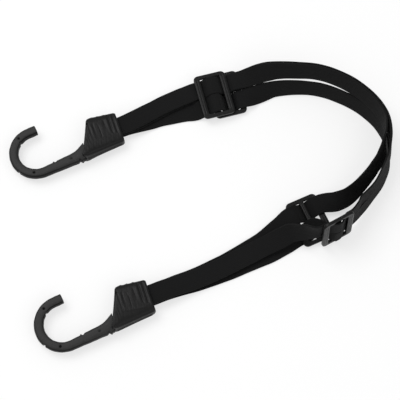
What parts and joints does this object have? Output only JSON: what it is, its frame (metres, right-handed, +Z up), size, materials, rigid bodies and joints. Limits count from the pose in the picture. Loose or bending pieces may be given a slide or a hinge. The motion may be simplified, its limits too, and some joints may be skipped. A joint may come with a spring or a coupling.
{
  "type": "adjustable elastic luggage strap",
  "caption": "Flat elastic strap folded into side-by-side bands through slotted sliders, with a moulded socket and open J-hook at each end, laid out as a U.",
  "frame": {"origin": "centre of the bounding box, on the table the strap lies on", "axes": "+X to the picture's right, towards the bend of the U; +Y away from the camera; +Z up"},
  "size_m": [0.2802, 0.2168, 0.0357],
  "materials": {
    "webbing": "matt black woven elastic",
    "slider_plastic": "satin black moulded plastic",
    "hook_plastic": "satin black moulded plastic",
    "socket_plastic": "black moulded plastic with grooves",
    "hook_steel": "plain drawn steel wire",
    "clip_steel": "plain sheet steel"
  },
  "bodies": {
    "strap": {"band_a": "webbing", "band_b": "webbing", "band_c": "webbing"},
    "upper_hook_end": {"upper_hook_core": "hook_steel", "upper_hook_sheath": "hook_plastic", "upper_socket": "socket_plastic", "upper_crimp_clip": "clip_steel"},
    "lower_hook_end": {"lower_hook_core": "hook_steel", "lower_hook_sheath": "hook_plastic", "lower_socket": "socket_plastic", "lower_crimp_clip": "clip_steel"},
    "upper_slider_top": {"upper_slider_top": "slider_plastic"},
    "upper_slider_low": {"upper_slider_low": "slider_plastic"},
    "lower_slider_top": {"lower_slider_top": "slider_plastic"},
    "lower_slider_low": {"lower_slider_low": "slider_plastic"}
  },
  "joints": [
    {"name": "upper_hook_pull", "type": "slide", "parent": "strap", "child": "upper_hook_end", "axis": [-0.9426, -0.3338, 0], "range_m": [0, 0.05], "stiffness_N_per_m": 400, "deforming": ["band_a", "band_b", "band_c"]},
    {"name": "lower_hook_pull", "type": "slide", "parent": "strap", "child": "lower_hook_end", "axis": [-0.9426, -0.3338, 0], "range_m": [0, 0.05], "stiffness_N_per_m": 400, "deforming": ["band_a", "band_b", "band_c"]},
    {"name": "upper_slider_top_slide", "type": "slide", "parent": "strap", "child": "upper_slider_top", "axis": [-0.9675, -0.2527, 0], "range_m": [0, 0.022], "deforming": ["band_a", "band_b", "band_c"]},
    {"name": "upper_slider_low_slide", "type": "slide", "parent": "strap", "child": "upper_slider_low", "axis": [0.9664, 0.2569, 0], "range_m": [0, 0.01], "deforming": ["band_a", "band_b", "band_c"]},
    {"name": "lower_slider_top_slide", "type": "slide", "parent": "strap", "child": "lower_slider_top", "axis": [0.9122, 0.4098, 0], "range_m": [0, 0.01], "deforming": ["band_a", "band_b", "band_c"]},
    {"name": "lower_slider_low_slide", "type": "slide", "parent": "strap", "child": "lower_slider_low", "axis": [-0.9103, -0.414, 0], "range_m": [0, 0.022], "deforming": ["band_a", "band_b", "band_c"]}
  ]
}
